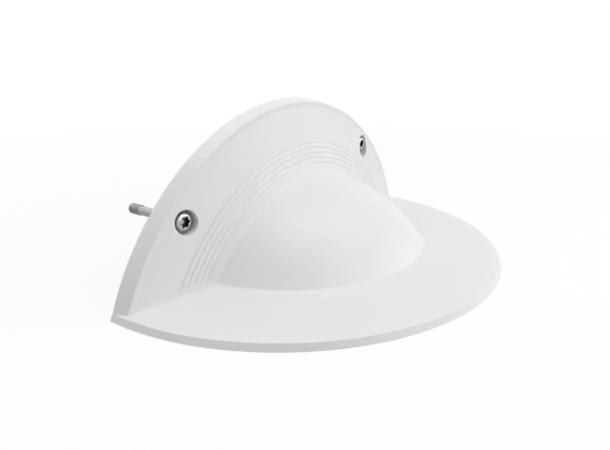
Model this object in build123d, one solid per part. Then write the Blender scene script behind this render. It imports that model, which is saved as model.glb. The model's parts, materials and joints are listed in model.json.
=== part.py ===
from build123d import *
import os
from math import atan, cos, degrees, radians, sin, sqrt

# Wall-mounted radar dome antenna: a quarter dome moulded with an upright wall flange and a flat brim.
# Origin: middle of the edge where the rear mounting plane (y = 0) meets the underside (z = 0).
# +Z is up, -Y is the way the dome looks, +X is to the right seen from the rear.  All sizes in millimetres.

# ---------------------------------------------------------------- outer shape
HALF_WIDTH = 118.0          # from the middle to either end of the corner edge
WALL_HEIGHT = 82.0          # top of the wall flange
BRIM_REACH = 116.0          # front of the brim
WALL_EDGE = 7.4             # height of the wall's outer edge, from the rear plane
WALL_LEAN = 2.1             # how far that edge leans in over its height
WALL_LAND = 2.6             # flat border round the wall's front face
WALL_SLOPE = 0.2            # rise of the front face per millimetre towards the dome
BRIM_EDGE = 3.0             # height of the brim's outer edge
BRIM_LEAN = 1.5             # how far that edge leans in
BRIM_FOOT = 0.3             # small bevel at the foot of that edge
BRIM_BEVEL = 3.4            # width of the bevel round the brim's top
BRIM_BEVEL_RISE = 0.5
DOME_RADIUS = 91.4          # outer sphere
DOME_DROP = 48.7            # sphere centre below the underside
DOME_BACK = 1.2             # sphere centre in front of the rear plane
DOME_FILLET = 1.4           # radius along the foot of the dome
WALL_ROUND = 0.6            # radius on the wall's front rim
BACK_ROUND = 0.4            # radius on its rear rim
BRIM_ROUND = 0.5            # radius on the brim's upper edge
BEVEL_ROUND = 2.0           # radius where the bevel meets the brim's top
SKIN = 3.0                  # moulded wall thickness

# grooves on the wall's front face, round the dome
GROOVE_COUNT = 5
GROOVE_OUTER = 106.4        # radius of the outermost groove's middle
GROOVE_PITCH = 2.76
GROOVE_WIDTH = 1.3          # across its mouth
GROOVE_FLOOR = 0.3          # across its floor
GROOVE_DEPTH = 0.4
GROOVE_STOP = 2.6           # grooves end this far above the brim

# ---------------------------------------------------------------- fixing screws
SCREW_INSET = 12.1          # both screws lie this far inside the wall's outer arc
SCREW_LEFT_DEG = -46.85      # from straight up, positive to +X
SCREW_RIGHT_DEG = 36.1
THREAD_D = 5.0
SHANK_D = 4.3
THREAD_LEN = 7.8
TIP_REACH = 30.0            # tip behind the rear plane
HEAD_D = 8.2
HEAD_H = 3.7
HEAD_ROUND = 1.3
RECESS_LOBE = 0.64          # six-lobe drive: lobe radius and circle of lobe centres
RECESS_CIRCLE = 1.9
RECESS_DEPTH = 2.2
POCKET_D = 10.9             # pocket round the head
POCKET_FLOOR = 3.2          # floor of the pocket, in front of the rear plane
POCKET_LIP = 0.4            # radius on the pocket's lip
RIGHT_TRAVEL = 3.4          # the right-hand hole is a slot: upright play of its screw
BOSS_WALL = 3.2             # material round the pocket
SLEEVE_D = 7.6
SLEEVE_BORE = 5.4
RETAINER_D = 9.6
RETAINER_T = 1.0
RETAINER_BORE = 4.5
WASHER_D = 8.0
WASHER_T = 1.0
WASHER_BORE = 5.3
GAP = 0.1                   # small gap between stacked pieces that are not meant to bind

# ---------------------------------------------------------------- covers
COVER_T = 2.5
GASKET_T = 0.5
COVER_GAP = 0.4             # round the edge of a cover in its rebate
RIM = 5.5                   # width of the housing's rim outside the rear rebate
LEDGE = 5.4                 # width of the ledge that a cover and its gasket seat on
LEDGE_T = 3.0
BAR_Z = 6.0                 # corner bar: height and depth
BAR_Y = 8.0
GASKET_INSET = 0.5          # gasket kept in from both edges of its ledge
INSERT_D = 4.2
INSERT_LEN = 4.0
INSERT_GROOVE = (0.6, 0.3)  # width and depth of the groove round an insert
BOSS_PAST = 1.5             # boss material past the end of an insert
HOLE_PAST = 0.2             # blind hole past the end of an insert
BOSS_R = 4.5                # boss round each insert
COVER_HOLE_D = 3.4
M3_D = 3.0
M3_HEAD_D = 5.5
M3_HEAD_H = 1.3
M3_REACH = 5.4              # length under the head
CROSS_SIZE = (3.0, 0.8)     # arms of the cross recess
CROSS_DEPTH = 0.6
REAR_SCREW_DEGS = (-57.0, -30.0, -8.0, 14.0, 57.0)
REAR_SCREW_INSET = 3.0      # screw circle inside the ledge's inner edge
REAR_LOW_X = 35.0           # two more screws beside the corner bar
BASE_RADIUS = 71.0          # rebate for the base cover, about the dome's axis
BASE_SCREW_DEGS = (-72.0, -36.0, 0.0, 36.0, 72.0)
BASE_SCREW_INSET = 2.0
BASE_BACK_X = 28.0

# ---------------------------------------------------------------- electronics
STANDOFF_AF = 5.0
LOWER_STANDOFF = 8.0        # rear cover to transceiver board
UPPER_STANDOFF = 9.0        # transceiver board to reflector
STUD_LEN = 3.0              # threaded stud of an upper standoff, past the board
BOARD_T = 1.6
REFLECTOR_T = 1.0
ANTENNA_T = 1.6
BOARD_MARGIN = 3.5          # from a board's arched top to the inside of the dome
BOARD_FOOT = 8.6            # lower edge of the boards
STANDOFF_LOW = (44.0, 15.0)
STANDOFF_HIGH = (24.0, 25.0)
PATCH = 9.4                 # square radiator
PATCH_T = 0.3
PATCH_PITCH = 12.4
PATCH_COUNTS = (6, 2)       # how many radiators in each row, from the lowest
PATCH_LOW_Z = 14.4          # height of the lowest row
PATCH_RISE = 12.0           # from one row to the next
FEED_WIDTH = 0.8
CAN_SIZE = (40.0, 4.5, 12.0)
CAN_WALL = 0.4
CAN_PLACE = (12.0, 15.5)
CHIP_SIZE = (12.0, 1.5, 12.0)
CHIP_PLACE = (14.0, 16.5)
COIL_D = 9.0
COIL_H = 4.0
COIL_RIM = 1.0              # thickness of the coil's end flanges, and how far they stand out
COIL_PLACE = (-24.0, 15.0)
COAX_PLACE = (-36.0, 15.5)
COAX_D = 4.0
COAX_H = 3.0
COAX_CLEAR = 0.5            # round a socket where it passes the reflector
BULLET_D = 1.8
HEADER_SIZE = (9.0, 3.0, 4.0)
HEADER_Z = 17.0
WIRE_D = 0.8

# ---------------------------------------------------------------- connector and vent
CONNECTOR_X = 0.0
CONNECTOR_Z = 30.0
CONNECTOR_D = 12.0
CONNECTOR_OUT = 12.0        # barrel behind the flange
CONNECTOR_FLANGE_D = 18.0
CONNECTOR_FLANGE_T = 2.0
CONNECTOR_IN = 1.0          # barrel inside, past the nut
CONNECTOR_BORE = 9.4
CONNECTOR_NUT_AF = 15.0
CONNECTOR_NUT_T = 2.6
CONTACT_COUNT = 5
CONTACT_CIRCLE = 2.8
CONTACT_D = 1.5
CONTACT_BORE = 1.0
CONTACT_TAIL = 1.6
SOCKET_DEPTH = 8.0
CONTACT_SHY = 1.4           # contacts stop this far inside the barrel's end
INSULATOR_SHY = 1.0
KEY = 1.6                   # keyway along the insulator
ORING_RADIUS = 7.6
ORING_T = 1.0
VENT_D = 8.0
VENT_FLANGE_D = 12.0
VENT_FLANGE_T = 1.5
VENT_BORE = 4.0
VENT_Y = -45.0
VENT_SHY = 0.3              # the plug's face stays inside the underside
MEMBRANE_D = 9.0
MEMBRANE_T = 0.3

# ---------------------------------------------------------------- worked out from the sizes above
WALL_AXIS = -(HALF_WIDTH**2 - WALL_HEIGHT**2) / (2 * WALL_HEIGHT)      # height of the wall's arc centre
WALL_RADIUS = WALL_HEIGHT - WALL_AXIS
BRIM_RADIUS = (HALF_WIDTH**2 + BRIM_REACH**2) / (2 * BRIM_REACH)
BRIM_AXIS = BRIM_RADIUS - BRIM_REACH                                    # y of the brim's arc centre
BRIM_TOP = BRIM_EDGE + BRIM_BEVEL_RISE
DOME_CENTRE = (0, -DOME_BACK, -DOME_DROP)
INNER_RADIUS = DOME_RADIUS - SKIN
SLOPE_RADIUS = WALL_RADIUS - WALL_LEAN - WALL_LAND                      # where the sloping face starts
REBATE_RADIUS = WALL_RADIUS - RIM
HOLLOW_RADIUS = REBATE_RADIUS - LEDGE
REBATE_DEPTH = COVER_T + GASKET_T
BOSS_D = POCKET_D + 2 * BOSS_WALL
SCREW_CIRCLE = WALL_RADIUS - SCREW_INSET
BIG = 600.0
PAST = 1.0                  # how far a cutter runs past the face that it opens


def face_y(radius):
    """Depth of the wall's sloping front face at a radius about the wall's arc centre."""
    return -(WALL_EDGE + WALL_SLOPE * (SLOPE_RADIUS - radius))


def on_wall(radius, degrees_from_up):
    """Point (x, z) on a circle about the wall's arc centre."""
    angle = radians(degrees_from_up)
    return radius * sin(angle), WALL_AXIS + radius * cos(angle)


def on_base(radius, degrees_from_front):
    """Point (x, y) on a circle about the dome's upright axis."""
    angle = radians(degrees_from_front)
    return radius * sin(angle), -DOME_BACK - radius * cos(angle)


# middle of each fixing screw's hole, and its upright play
SCREW_HOLES = {
    "left": (on_wall(SCREW_CIRCLE, SCREW_LEFT_DEG), 0.0),
    "right": (on_wall(SCREW_CIRCLE, SCREW_RIGHT_DEG), RIGHT_TRAVEL),
}
REAR_SCREWS = [on_wall(HOLLOW_RADIUS - REAR_SCREW_INSET, a) for a in REAR_SCREW_DEGS]
REAR_SCREWS += [(x, BAR_Z + LEDGE + REAR_SCREW_INSET) for x in (-REAR_LOW_X, REAR_LOW_X)]
BASE_SCREWS = [on_base(BASE_RADIUS - LEDGE - BASE_SCREW_INSET, a) for a in BASE_SCREW_DEGS]
BASE_SCREWS += [(x, -(BAR_Y + LEDGE + BASE_SCREW_INSET)) for x in (-BASE_BACK_X, BASE_BACK_X)]


def above(z):
    """Everything higher than z."""
    return Pos(0, 0, z + BIG / 2) * Box(BIG, BIG, BIG)


def ahead(y):
    """Everything in front of the upright plane at y."""
    return Pos(0, y - BIG / 2, 0) * Box(BIG, BIG, BIG)


def rod_y(x, z, diameter, y_from, y_to):
    """Round rod along Y between two depths."""
    rod = Cylinder(diameter / 2, abs(y_to - y_from))
    return Pos(x, (y_from + y_to) / 2, z) * Rot(90, 0, 0) * rod


def rod_z(x, y, diameter, z_from, z_to):
    """Round rod along Z between two heights."""
    return Pos(x, y, (z_from + z_to) / 2) * Cylinder(diameter / 2, abs(z_to - z_from))


def slot_y(x, z, diameter, travel, y_from, y_to):
    """Rod along Y, drawn out upright by travel into a slot shape."""
    body = rod_y(x, z - travel / 2, diameter, y_from, y_to)
    if travel > 0:
        body += rod_y(x, z + travel / 2, diameter, y_from, y_to)
        body += Pos(x, (y_from + y_to) / 2, z) * Box(diameter, abs(y_to - y_from), travel)
    return body


def hex_y(x, z, across_flats, y_from, y_to):
    """Hexagonal bar along Y."""
    low, high = min(y_from, y_to), max(y_from, y_to)
    plane = Plane(origin=(x, low, z), x_dir=(1, 0, 0), z_dir=(0, 1, 0))
    return extrude(plane * RegularPolygon(across_flats / 2, 6, major_radius=False), high - low)


def rounded_face(corners):
    """Flat face from (point, radius) corners; a radius of 0 leaves its corner sharp."""
    face = make_face(Polyline(*[point for point, _ in corners], close=True))
    for point, radius in corners:
        if radius > 0:
            corner = min(face.vertices(), key=lambda vertex: (Vector(*vertex) - Vector(*point)).length)
            face = fillet(corner, radius)
    return face


def turned_wall(corners):
    """Solid turned about the wall's arc centre from (radius, y, rounding) corners."""
    outline = [((r, y, WALL_AXIS), rounding) for r, y, rounding in corners]
    return revolve(rounded_face(outline), axis=Axis((0, 0, WALL_AXIS), (0, 1, 0)))


def turned_brim(corners):
    """Solid turned about the brim's arc centre from (radius, z, rounding) corners."""
    outline = [((r, BRIM_AXIS, z), rounding) for r, z, rounding in corners]
    return revolve(rounded_face(outline), axis=Axis((0, BRIM_AXIS, 0), (0, 0, 1)))


def wall_disc(radius, y_from, y_to, floor):
    """Part of a disc about the wall's arc centre that lies above floor."""
    return rod_y(0, WALL_AXIS, 2 * radius, y_from, y_to) & above(floor)


def base_disc(radius, z_from, z_to, back):
    """Part of a disc about the dome's upright axis that lies in front of back."""
    return rod_z(0, -DOME_BACK, 2 * radius, z_from, z_to) & ahead(back)


def dome_ball(radius):
    return Pos(*DOME_CENTRE) * Sphere(radius)


# ---------------------------------------------------------------- housing
def edge_near(body, x, y, z):
    """The edge whose middle lies nearest to a point."""
    return min(body.edges(), key=lambda edge: ((edge @ 0.5) - Vector(x, y, z)).length)


def outer_body():
    """Wall flange, brim and dome as one solid, before it is hollowed."""
    wall = turned_wall([
        (0, 0, 0),
        (WALL_RADIUS, 0, BACK_ROUND),
        (WALL_RADIUS - WALL_LEAN, -WALL_EDGE, WALL_ROUND),
        (SLOPE_RADIUS, -WALL_EDGE, 0),
        (0, face_y(0), 0),
    ]) & above(0)
    wall -= ahead(face_y(INNER_RADIUS - 2 * SKIN))
    brim = turned_brim([
        (0, 0, 0),
        (BRIM_RADIUS - BRIM_FOOT, 0, 0),
        (BRIM_RADIUS, BRIM_FOOT, 0),
        (BRIM_RADIUS - BRIM_LEAN, BRIM_EDGE, BRIM_ROUND),
        (BRIM_RADIUS - BRIM_LEAN - BRIM_BEVEL, BRIM_TOP, BEVEL_ROUND),
        (0, BRIM_TOP, 0),
    ]) & ahead(0)
    dome = dome_ball(DOME_RADIUS) & above(0) & ahead(0)
    body = wall + brim + dome
    foot_radius = sqrt(DOME_RADIUS**2 - (DOME_DROP + BRIM_TOP)**2)
    dome_foot = [
        edge_near(body, 0, -DOME_BACK - foot_radius, BRIM_TOP),
        edge_near(body, 0, face_y(INNER_RADIUS), DOME_RADIUS - DOME_DROP),
    ]
    return fillet(dome_foot, DOME_FILLET)


def groove_outline(middle):
    """Cross-section of a groove square to the sloping face: points at (radius, 0, depth)."""
    lean = atan(WALL_SLOPE)
    floor = GROOVE_FLOOR / 2
    mouth = GROOVE_WIDTH - floor                # half width as far above the face as the floor lies below it
    corners = [(-floor, GROOVE_DEPTH), (floor, GROOVE_DEPTH), (mouth, -GROOVE_DEPTH), (-mouth, -GROOVE_DEPTH)]
    points = [(middle + u * cos(lean) - v * sin(lean), 0, u * sin(lean) + v * cos(lean)) for u, v in corners]
    return Polyline(*points, close=True)


def grooves():
    """Rings round the dome's axis, each tipped a little so that it follows the sloping face."""
    shift = WALL_AXIS + DOME_DROP               # from the dome's axis up to the wall's arc centre
    cut = []
    for index in range(GROOVE_COUNT):
        middle = GROOVE_OUTER - index * GROOVE_PITCH
        tip = degrees(atan(WALL_SLOPE * shift / middle))
        ring = revolve(make_face(groove_outline(middle)), axis=Axis.Z)
        tipped = Pos(0, face_y(middle), -DOME_DROP) * Rot(tip - 90, 0, 0) * ring
        cut.append(tipped & above(BRIM_TOP + GROOVE_STOP))
    return cut


def screw_zone(diameter, y_from, y_to):
    """Discs round both fixing screws, drawn out where the hole is a slot."""
    discs = [slot_y(x, z, diameter, travel, y_from, y_to) for (x, z), travel in SCREW_HOLES.values()]
    return discs[0] + discs[1]


def wall_hollow():
    """Space behind the wall's skin, clear of the screw bosses and insert bosses."""
    hollow = turned_wall([
        (0, -REBATE_DEPTH, 0),
        (HOLLOW_RADIUS, -REBATE_DEPTH, 0),
        (HOLLOW_RADIUS, face_y(HOLLOW_RADIUS) + SKIN, 0),
        (0, face_y(0) + SKIN, 0),
    ]) & above(BAR_Z + LEDGE)
    hollow -= ahead(face_y(DOME_RADIUS - SKIN))
    hollow -= screw_zone(BOSS_D + 2 * LEDGE, 0, -BIG / 4)
    for x, z in REAR_SCREWS:
        hollow -= rod_y(x, z, 2 * BOSS_R, 0, -REBATE_DEPTH - INSERT_LEN - BOSS_PAST)
    return hollow


def dome_hollow():
    """Space inside the dome, above the base ledge and in front of the corner bar."""
    hollow = dome_ball(INNER_RADIUS) & above(REBATE_DEPTH + LEDGE_T) & ahead(-REBATE_DEPTH - LEDGE_T)
    hollow -= Pos(0, 0, BAR_Z / 2) * Box(BIG, 2 * BAR_Y, BAR_Z)
    for x, z in REAR_SCREWS[-2:]:
        hollow -= rod_y(x, z, 2 * BOSS_R, 0, -REBATE_DEPTH - INSERT_LEN - BOSS_PAST)
        hollow -= Pos(x, -BAR_Y / 2, z / 2) * Box(2 * BOSS_R, BAR_Y, z)
    for x, y in BASE_SCREWS:
        hollow -= rod_z(x, y, 2 * BOSS_R, 0, REBATE_DEPTH + INSERT_LEN + BOSS_PAST)
    return hollow


def on_lip(point, x, z):
    """Whether a point lies on the lip of the pocket round (x, z)."""
    beside = max(abs(point.X - x), abs(point.Z - z))
    reach = 2 * POCKET_LIP + WALL_SLOPE * POCKET_D / 2
    return beside < POCKET_D and abs(point.Y - face_y(SCREW_CIRCLE)) < reach


def radome_housing():
    body = outer_body()
    for ring in grooves():
        body -= ring
    for (x, z), travel in SCREW_HOLES.values():
        body -= slot_y(x, z, POCKET_D, travel, -POCKET_FLOOR, -BIG / 8)
        body = fillet([edge for edge in body.edges() if on_lip(edge.center(), x, z)], POCKET_LIP)
    body -= wall_disc(REBATE_RADIUS, PAST, -REBATE_DEPTH, BAR_Z) - screw_zone(BOSS_D, 2 * PAST, -WALL_EDGE)
    body -= wall_hollow()
    body -= dome_hollow()
    body -= base_disc(BASE_RADIUS, -PAST, REBATE_DEPTH, -BAR_Y)
    mouth = base_disc(BASE_RADIUS - LEDGE, -PAST, REBATE_DEPTH + LEDGE_T + PAST, -BAR_Y - LEDGE)
    for x, y in BASE_SCREWS:
        mouth -= rod_z(x, y, 2 * BOSS_R, 0, REBATE_DEPTH + LEDGE_T + 2 * PAST)
    body -= mouth
    for (x, z), travel in SCREW_HOLES.values():
        body -= slot_y(x, z, SLEEVE_D, travel, PAST, -POCKET_FLOOR - PAST)
        body -= slot_y(x, z, RETAINER_D, travel, PAST, -RETAINER_T - 2 * GAP)
    for x, z in REAR_SCREWS:
        body -= rod_y(x, z, INSERT_D, 0, -REBATE_DEPTH - INSERT_LEN - HOLE_PAST)
    for x, y in BASE_SCREWS:
        body -= rod_z(x, y, INSERT_D, 0, REBATE_DEPTH + INSERT_LEN + HOLE_PAST)
    return body


# ---------------------------------------------------------------- covers, gaskets and their screws
def rear_cover():
    plate = wall_disc(REBATE_RADIUS - COVER_GAP, 0, -COVER_T, BAR_Z + COVER_GAP)
    plate -= screw_zone(BOSS_D + 2 * COVER_GAP, PAST, -COVER_T - PAST)
    for x, z in REAR_SCREWS + standoff_places():
        plate -= rod_y(x, z, COVER_HOLE_D, PAST, -COVER_T - PAST)
        plate -= rod_y(x, z, M3_HEAD_D + 2 * GAP, PAST, -M3_HEAD_H - GAP)
    return plate - rod_y(CONNECTOR_X, CONNECTOR_Z, CONNECTOR_D + 2 * GAP, PAST, -COVER_T - PAST)


def rear_cover_gasket():
    y_from, y_to = -COVER_T, -REBATE_DEPTH
    sheet = wall_disc(REBATE_RADIUS - GASKET_INSET, y_from, y_to, BAR_Z + GASKET_INSET)
    sheet -= screw_zone(BOSS_D + 2 * GASKET_INSET, PAST, y_to - PAST)
    window = wall_disc(HOLLOW_RADIUS + GASKET_INSET, PAST, y_to - PAST, BAR_Z + LEDGE - GASKET_INSET)
    window -= screw_zone(BOSS_D + 2 * LEDGE - 2 * GASKET_INSET, 2 * PAST, y_to - 2 * PAST)
    for x, z in REAR_SCREWS:
        window -= rod_y(x, z, 2 * (BOSS_R - GASKET_INSET), 2 * PAST, y_to - 2 * PAST)
    sheet -= window
    for x, z in REAR_SCREWS:
        sheet -= rod_y(x, z, COVER_HOLE_D, PAST, y_to - PAST)
    return sheet


def base_cover():
    plate = base_disc(BASE_RADIUS - COVER_GAP, 0, COVER_T, -BAR_Y - COVER_GAP)
    for x, y in BASE_SCREWS:
        plate -= rod_z(x, y, COVER_HOLE_D, -PAST, COVER_T + PAST)
        plate -= rod_z(x, y, M3_HEAD_D + 2 * GAP, -PAST, M3_HEAD_H + GAP)
    return plate - rod_z(0, VENT_Y, VENT_D, -PAST, COVER_T + PAST)


def base_cover_gasket():
    sheet = base_disc(BASE_RADIUS - GASKET_INSET, COVER_T, REBATE_DEPTH, -BAR_Y - GASKET_INSET)
    back = -BAR_Y - LEDGE + GASKET_INSET
    window = base_disc(BASE_RADIUS - LEDGE + GASKET_INSET, 0, REBATE_DEPTH + PAST, back)
    for x, y in BASE_SCREWS:
        window -= rod_z(x, y, 2 * (BOSS_R - GASKET_INSET), -PAST, REBATE_DEPTH + 2 * PAST)
    sheet -= window
    for x, y in BASE_SCREWS:
        sheet -= rod_z(x, y, COVER_HOLE_D, 0, REBATE_DEPTH + PAST)
    return sheet


def cover_screw():
    """M3 pan-head screw: head underside at the origin, shank along -Z, cross recess."""
    screw = Pos(0, 0, M3_HEAD_H / 2) * Cylinder(M3_HEAD_D / 2, M3_HEAD_H)
    screw += Pos(0, 0, -M3_REACH / 2) * Cylinder(M3_D / 2 - GAP, M3_REACH)
    for turn in (0, 90):
        screw -= Pos(0, 0, M3_HEAD_H) * Rot(0, 0, turn) * Box(*CROSS_SIZE, 2 * CROSS_DEPTH)
    return screw


def insert():
    """Knurled brass insert: mouth at the origin, body along -Z."""
    body = Pos(0, 0, -INSERT_LEN / 2) * Cylinder(INSERT_D / 2, INSERT_LEN)
    body -= Pos(0, 0, -INSERT_LEN / 2) * Cylinder(M3_D / 2, INSERT_LEN + PAST)
    width, depth = INSERT_GROOVE
    groove = Cylinder(INSERT_D / 2 + PAST, width) - Cylinder(INSERT_D / 2 - depth, width + PAST)
    return body - Pos(0, 0, -INSERT_LEN / 2) * groove


def facing_back(x, y, z):
    """Place a piece so that its +Z points to the rear."""
    return Pos(x, y, z) * Rot(-90, 0, 0)


def facing_front(x, y, z):
    """Place a piece so that its +Z points to the front."""
    return Pos(x, y, z) * Rot(90, 0, 0)


def facing_down(x, y, z):
    """Place a piece so that its +Z points down."""
    return Pos(x, y, z) * Rot(180, 0, 0)


# ---------------------------------------------------------------- fixing screws
def fixing_screw(x, z):
    """Captive screw: low round head with a six-lobe recess, thin shank, threaded tip."""
    seat = -POCKET_FLOOR - WASHER_T
    head = rod_y(x, z, HEAD_D, seat, seat - HEAD_H)
    rim = head.edges().filter_by(GeomType.CIRCLE).sort_by(Axis.Y)[0]
    head = fillet(rim, HEAD_ROUND)
    recess_from, recess_to = seat - HEAD_H - PAST, seat - HEAD_H + RECESS_DEPTH
    head -= rod_y(x, z, 2 * RECESS_CIRCLE, recess_from, recess_to)
    for index in range(6):
        angle = radians(60 * index)
        lobe_x, lobe_z = x + RECESS_CIRCLE * cos(angle), z + RECESS_CIRCLE * sin(angle)
        head -= rod_y(lobe_x, lobe_z, 2 * RECESS_LOBE, recess_from, recess_to)
    shank = rod_y(x, z, SHANK_D, seat, TIP_REACH - THREAD_LEN)
    tip = rod_y(x, z, THREAD_D, TIP_REACH - THREAD_LEN, TIP_REACH)
    ends = tip.edges().filter_by(GeomType.CIRCLE)
    tip = chamfer(ends, (THREAD_D - SHANK_D) / 2)
    return head + shank + tip


def washer_y(x, z, outer, bore, travel, y_from, y_to):
    ring = slot_y(x, z, outer, travel, y_from, y_to)
    low, high = min(y_from, y_to), max(y_from, y_to)
    return ring - slot_y(x, z, bore, travel, low - PAST, high + PAST)


# ---------------------------------------------------------------- electronics
LOWER_BOARD_Y = -COVER_T - LOWER_STANDOFF               # rear face of the transceiver board
BOARD_FRONT = LOWER_BOARD_Y - BOARD_T
REFLECTOR_Y = BOARD_FRONT - UPPER_STANDOFF
ANTENNA_Y = REFLECTOR_Y - REFLECTOR_T
ANTENNA_FRONT = ANTENNA_Y - ANTENNA_T


def standoff_places():
    return [(side * x, z) for x, z in (STANDOFF_LOW, STANDOFF_HIGH) for side in (-1, 1)]


def arched_board(y_rear, thickness):
    """Upright board with an arched top that follows the inside of the dome."""
    y_front = y_rear - thickness
    radius = sqrt(INNER_RADIUS**2 - (y_front + DOME_BACK)**2) - BOARD_MARGIN
    board = rod_y(0, -DOME_DROP, 2 * radius, y_rear, y_front) & above(BOARD_FOOT)
    for x, z in standoff_places():
        board -= rod_y(x, z, M3_D, y_rear + PAST, y_front - PAST)
    return board


def block(place, size, y_rear):
    """Rectangular block on a board: (x, z) of its middle, its size, and the y of its rear face."""
    return Pos(place[0], y_rear - size[1] / 2, place[1]) * Box(*size)


def transceiver_board():
    return arched_board(LOWER_BOARD_Y, BOARD_T)


def reflector_plate():
    plate = arched_board(REFLECTOR_Y, REFLECTOR_T)
    return plate - rod_y(*COAX_PLACE, COAX_D + 2 * COAX_CLEAR, REFLECTOR_Y + PAST, ANTENNA_Y - PAST)


def antenna_board():
    return arched_board(ANTENNA_Y, ANTENNA_T)


def patch_rows():
    """Lists of radiator middles (x, z), row by row."""
    rows = []
    for level, count in enumerate(PATCH_COUNTS):
        z = PATCH_LOW_Z + level * PATCH_RISE
        rows.append([((index - (count - 1) / 2) * PATCH_PITCH, z) for index in range(count)])
    return rows


def radiating_patches():
    size = (PATCH, PATCH_T, PATCH)
    return [block(place, size, ANTENNA_FRONT) for row in patch_rows() for place in row]


def feed_lines():
    """Copper strips that join the radiators of each row, and one riser between the rows."""
    lines = []
    for row in patch_rows():
        for (x_from, z), (x_to, _) in zip(row, row[1:]):
            size = (x_to - x_from - PATCH, PATCH_T, FEED_WIDTH)
            lines.append(block(((x_from + x_to) / 2, z), size, ANTENNA_FRONT))
    riser = (FEED_WIDTH, PATCH_T, PATCH_RISE - FEED_WIDTH)
    lines.append(block((0, PATCH_LOW_Z + PATCH_RISE / 2), riser, ANTENNA_FRONT))
    return lines


def lower_standoff(x, z):
    bar = hex_y(x, z, STANDOFF_AF, -COVER_T, LOWER_BOARD_Y)
    return bar - rod_y(x, z, M3_D, -COVER_T + PAST, LOWER_BOARD_Y - PAST)


def upper_standoff(x, z):
    bar = hex_y(x, z, STANDOFF_AF, BOARD_FRONT, REFLECTOR_Y)
    bar -= rod_y(x, z, M3_D, REFLECTOR_Y - PAST, REFLECTOR_Y + M3_REACH)
    return bar + rod_y(x, z, M3_D - 2 * GAP, BOARD_FRONT, LOWER_BOARD_Y + STUD_LEN)


def shield_can():
    """Folded tin cover over the radio stage, open towards its board."""
    can = block(CAN_PLACE, CAN_SIZE, BOARD_FRONT)
    inside = (CAN_SIZE[0] - 2 * CAN_WALL, CAN_SIZE[1], CAN_SIZE[2] - 2 * CAN_WALL)
    return can - block(CAN_PLACE, inside, BOARD_FRONT + CAN_WALL)


def power_coil():
    x, z = COIL_PLACE
    coil = rod_y(x, z, COIL_D, BOARD_FRONT, BOARD_FRONT - COIL_H)
    waist = rod_y(x, z, COIL_D + 2 * PAST, BOARD_FRONT - COIL_RIM, BOARD_FRONT - COIL_H + COIL_RIM)
    waist -= rod_y(x, z, COIL_D - 2 * COIL_RIM, BOARD_FRONT, BOARD_FRONT - COIL_H)
    return coil - waist


def coax_socket(y_board, y_mouth):
    x, z = COAX_PLACE
    low, high = sorted((y_board, y_mouth))
    bore = rod_y(x, z, BULLET_D + 2 * GAP, low - PAST, high + PAST)
    return rod_y(x, z, COAX_D, low, high) - bore


def coax_bullet():
    return rod_y(*COAX_PLACE, BULLET_D, BOARD_FRONT, ANTENNA_Y)


def contact_places():
    places = []
    for index in range(CONTACT_COUNT):
        angle = radians(90 + index * 360 / CONTACT_COUNT)
        places.append((CONNECTOR_X + CONTACT_CIRCLE * cos(angle), CONNECTOR_Z + CONTACT_CIRCLE * sin(angle)))
    return places


CONNECTOR_END = CONNECTOR_FLANGE_T + CONNECTOR_OUT
CONNECTOR_INNER = -COVER_T - CONNECTOR_NUT_T - CONNECTOR_IN
TAIL_END = CONNECTOR_INNER - CONTACT_TAIL
SEAL_OUTER = 2 * ORING_RADIUS + ORING_T
SEAL_INNER = 2 * ORING_RADIUS - ORING_T


def connector_shell():
    x, z = CONNECTOR_X, CONNECTOR_Z
    shell = rod_y(x, z, CONNECTOR_D, CONNECTOR_INNER, CONNECTOR_END)
    shell += rod_y(x, z, CONNECTOR_FLANGE_D, 0, CONNECTOR_FLANGE_T)
    shell -= washer_y(x, z, SEAL_OUTER + GAP, SEAL_INNER - GAP, 0, -PAST, ORING_T)
    return shell - rod_y(x, z, CONNECTOR_BORE, CONNECTOR_INNER - PAST, CONNECTOR_END + PAST)


def connector_insulator():
    x, z = CONNECTOR_X, CONNECTOR_Z
    core = rod_y(x, z, CONNECTOR_BORE, CONNECTOR_INNER, CONNECTOR_END - INSULATOR_SHY)
    core -= Pos(x, CONNECTOR_END, z + CONNECTOR_BORE / 2) * Box(KEY, 2 * SOCKET_DEPTH, KEY)
    for contact_x, contact_z in contact_places():
        core -= rod_y(contact_x, contact_z, CONTACT_D, CONNECTOR_INNER - PAST, CONNECTOR_END + PAST)
    return core


def connector_contacts():
    contacts = []
    mouth = CONNECTOR_END - CONTACT_SHY
    for x, z in contact_places():
        contact = rod_y(x, z, CONTACT_D, TAIL_END, mouth)
        contacts.append(contact - rod_y(x, z, CONTACT_BORE, mouth - SOCKET_DEPTH, CONNECTOR_END))
    return contacts


def connector_nut():
    x, z = CONNECTOR_X, CONNECTOR_Z
    nut = hex_y(x, z, CONNECTOR_NUT_AF, -COVER_T, -COVER_T - CONNECTOR_NUT_T)
    return nut - rod_y(x, z, CONNECTOR_D + GAP, PAST, -COVER_T - CONNECTOR_NUT_T - PAST)


def connector_seal():
    return washer_y(CONNECTOR_X, CONNECTOR_Z, SEAL_OUTER, SEAL_INNER, 0, 0, ORING_T)


def header_top():
    return HEADER_Z + HEADER_SIZE[2] / 2


def connector_wires():
    """Short wires from the contact tails straight down into the board header."""
    y = TAIL_END - WIRE_D / 2
    return [rod_z(x, y, WIRE_D, header_top(), z + WIRE_D / 2) for x, z in contact_places()]


def board_header():
    return block((CONNECTOR_X, HEADER_Z), HEADER_SIZE, LOWER_BOARD_Y + HEADER_SIZE[1])


def vent_plug():
    plug = rod_z(0, VENT_Y, VENT_D, VENT_SHY, COVER_T)
    plug += rod_z(0, VENT_Y, VENT_FLANGE_D, COVER_T, COVER_T + VENT_FLANGE_T)
    return plug - rod_z(0, VENT_Y, VENT_BORE, -PAST, COVER_T + VENT_FLANGE_T + PAST)


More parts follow.
